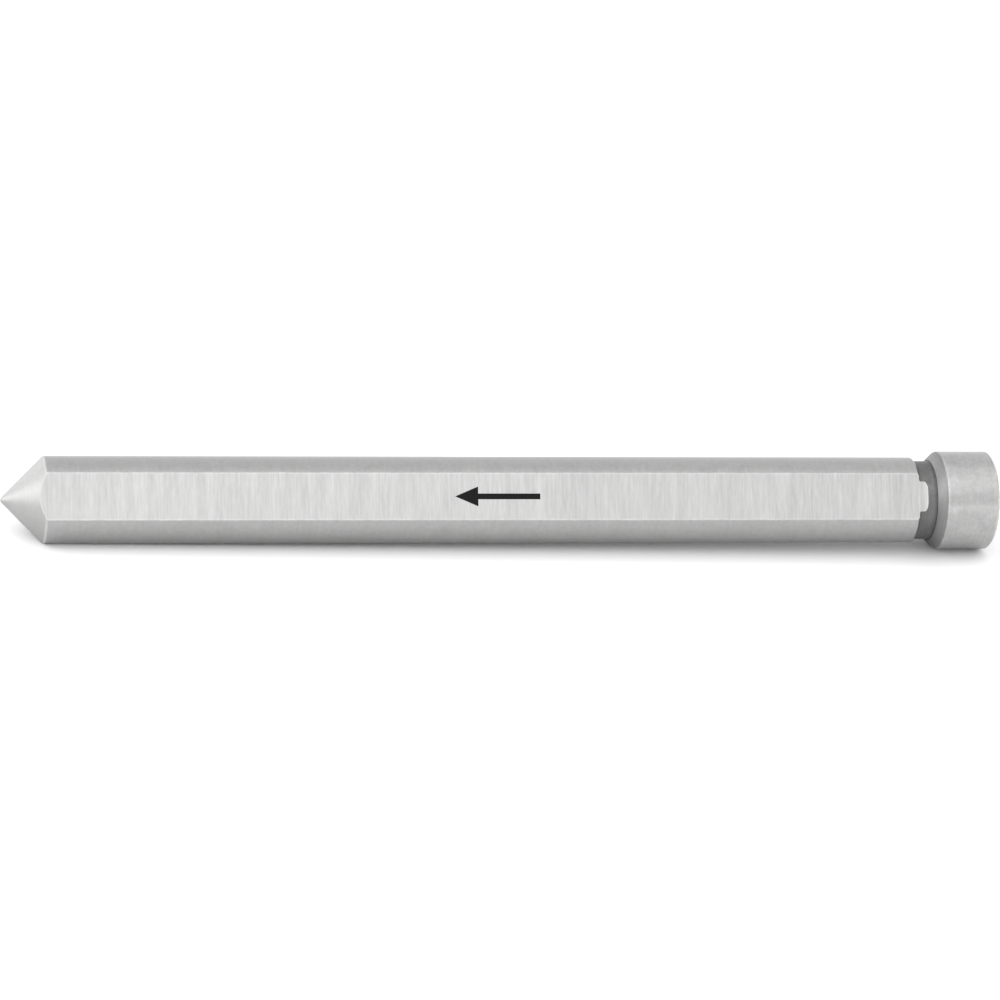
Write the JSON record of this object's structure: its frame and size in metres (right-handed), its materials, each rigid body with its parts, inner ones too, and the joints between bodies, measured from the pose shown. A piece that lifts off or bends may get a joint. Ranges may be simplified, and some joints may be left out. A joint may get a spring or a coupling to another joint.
{
  "type": "pilot pin",
  "caption": "Slim steel pilot pin for an annular cutter: conical point, round shaft with ground flats, relieved neck and short collar-like head.",
  "frame": {"origin": "centre of the head's rear face, on the pin's axis", "axes": "X along the pin: +X out of the rear face, -X towards the point; one ground flat faces -Z, so the pin lies on it"},
  "size_m": [0.0735, 0.0072, 0.0072],
  "materials": {
    "ground_steel": "ground and hardened, satin, with grinding lines"
  },
  "bodies": {
    "root": {"pilot_pin": "ground_steel"}
  },
  "joints": []
}
